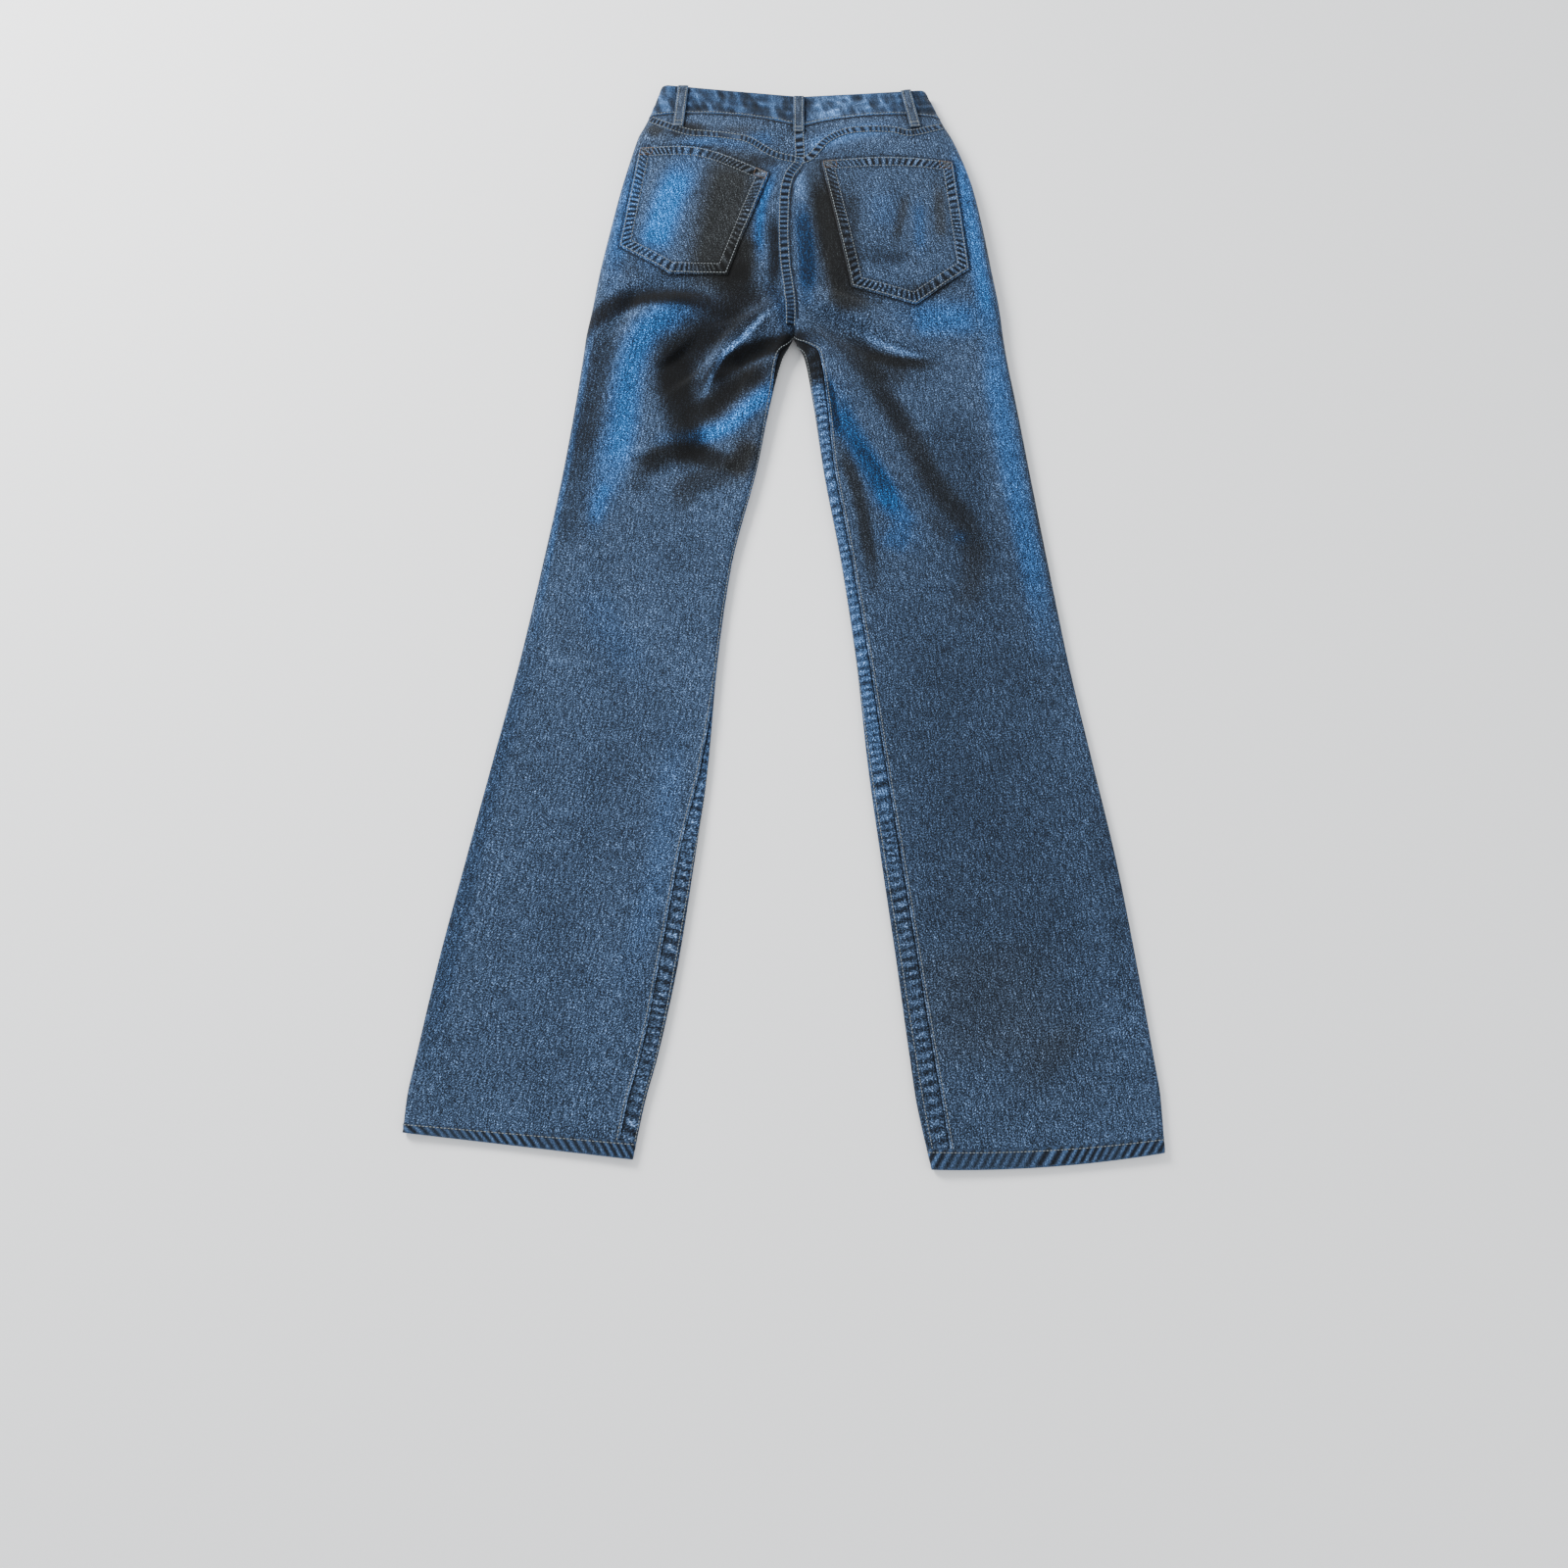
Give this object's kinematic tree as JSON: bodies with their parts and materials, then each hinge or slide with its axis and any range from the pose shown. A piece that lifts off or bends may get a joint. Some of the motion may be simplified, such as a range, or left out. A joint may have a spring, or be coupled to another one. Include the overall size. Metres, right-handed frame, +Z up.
{
  "type": "flare jeans",
  "caption": "Denim flare jeans laid out flat with the back side up, legs spread, with back yokes, patch pockets and a belt-looped waistband.",
  "frame": {"origin": "on the floor, under the middle of the garment's outline", "axes": "+Z up out of the back side, which faces up; +Y towards the waist, -Y towards the hems; +X to the wearer's right as the garment lies on its front"},
  "size_m": [0.6985, 1.1493, 0.0338],
  "materials": {
    "denim": "washed mid-blue cotton twill with pale wear on its folds and seams, matt",
    "button_metal": "dull copper-toned shank button",
    "thread": "faded beige topstitching thread"
  },
  "bodies": {
    "root": {"back_left": "denim", "back_right": "denim", "front_left": "denim", "front_right": "denim", "yoke_left": "denim", "yoke_right": "denim", "waistband": "denim", "pocket_left": "denim", "pocket_right": "denim", "loop_back_left": "denim", "loop_back_centre": "denim", "loop_back_right": "denim", "loop_front_left": "denim", "loop_front_right": "denim", "waist_button": "button_metal"}
  },
  "joints": []
}
